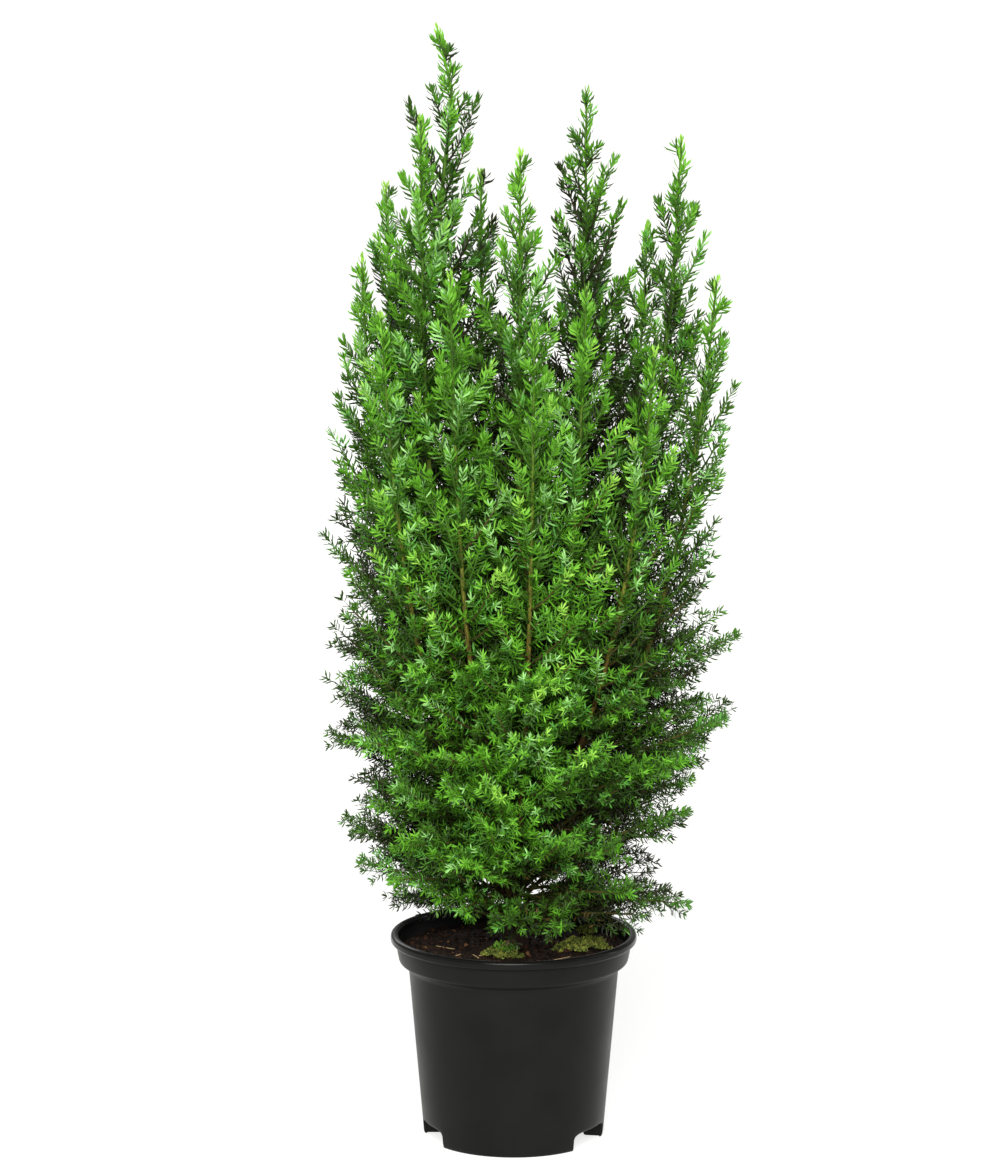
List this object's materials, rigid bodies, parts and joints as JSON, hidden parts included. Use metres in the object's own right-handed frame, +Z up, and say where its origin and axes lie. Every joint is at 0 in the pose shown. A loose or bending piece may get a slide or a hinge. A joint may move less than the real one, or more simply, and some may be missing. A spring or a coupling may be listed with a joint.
{
  "type": "potted lawson cypress",
  "caption": "Young upright conifer with many leading stems and short soft needles, in a round black plastic plant pot with a rolled lip and a notched foot.",
  "frame": {"origin": "centre of the flat underside of the pot's floor", "axes": "+Z up along the pot's axis, +X to the right and -Y towards the viewer in the picture"},
  "size_m": [0.2134, 0.1941, 0.587],
  "materials": {
    "pot_plastic": "injection moulded black polypropylene with a soft sheen",
    "soil": "moist dark peat potting soil with crumbs and bits of straw",
    "moss": "short yellow-green moss cushions",
    "bark": "thin reddish brown bark with fine lengthwise relief",
    "young_bark": "young bark, orange brown below and yellow green above",
    "foliage": "soft awl-shaped needles, bright green at the tips and deep green inside",
    "low_foliage": "short spreading needles, some bluish green, on level side sprays"
  },
  "bodies": {
    "root": {"foliage_back_centre": "foliage", "foliage_back_left": "foliage", "foliage_back_left_inner": "foliage", "foliage_back_right": "foliage", "foliage_centre": "foliage", "foliage_centre_right": "foliage", "foliage_far_left": "foliage", "foliage_far_right": "foliage", "foliage_front": "foliage", "foliage_front_centre": "foliage", "foliage_front_left": "foliage", "foliage_front_left_inner": "foliage", "foliage_front_right": "foliage", "foliage_left": "foliage", "foliage_left_front": "foliage", "foliage_right": "foliage", "foliage_right_back": "foliage", "foliage_trunk": "foliage", "low_bough_1": "bark", "low_bough_2": "bark", "low_bough_3": "bark", "low_bough_4": "bark", "low_bough_5": "bark", "low_bough_6": "bark", "low_bough_7": "bark", "low_bough_8": "bark", "low_foliage_1": "low_foliage", "low_foliage_2": "low_foliage", "low_foliage_3": "low_foliage", "low_foliage_4": "low_foliage", "low_foliage_5": "low_foliage", "low_foliage_6": "low_foliage", "low_foliage_7": "low_foliage", "low_foliage_8": "low_foliage", "moss_back": "moss", "moss_front": "moss", "moss_right": "moss", "pot": "pot_plastic", "soil": "soil", "stem_back_centre": "young_bark", "stem_back_left": "young_bark", "stem_back_left_inner": "young_bark", "stem_back_right": "young_bark", "stem_centre": "young_bark", "stem_centre_right": "young_bark", "stem_far_left": "young_bark", "stem_far_right": "young_bark", "stem_front": "young_bark", "stem_front_centre": "young_bark", "stem_front_left": "young_bark", "stem_front_left_inner": "young_bark", "stem_front_right": "young_bark", "stem_left": "young_bark", "stem_left_front": "young_bark", "stem_right": "young_bark", "stem_right_back": "young_bark", "trunk": "bark"}
  },
  "joints": []
}
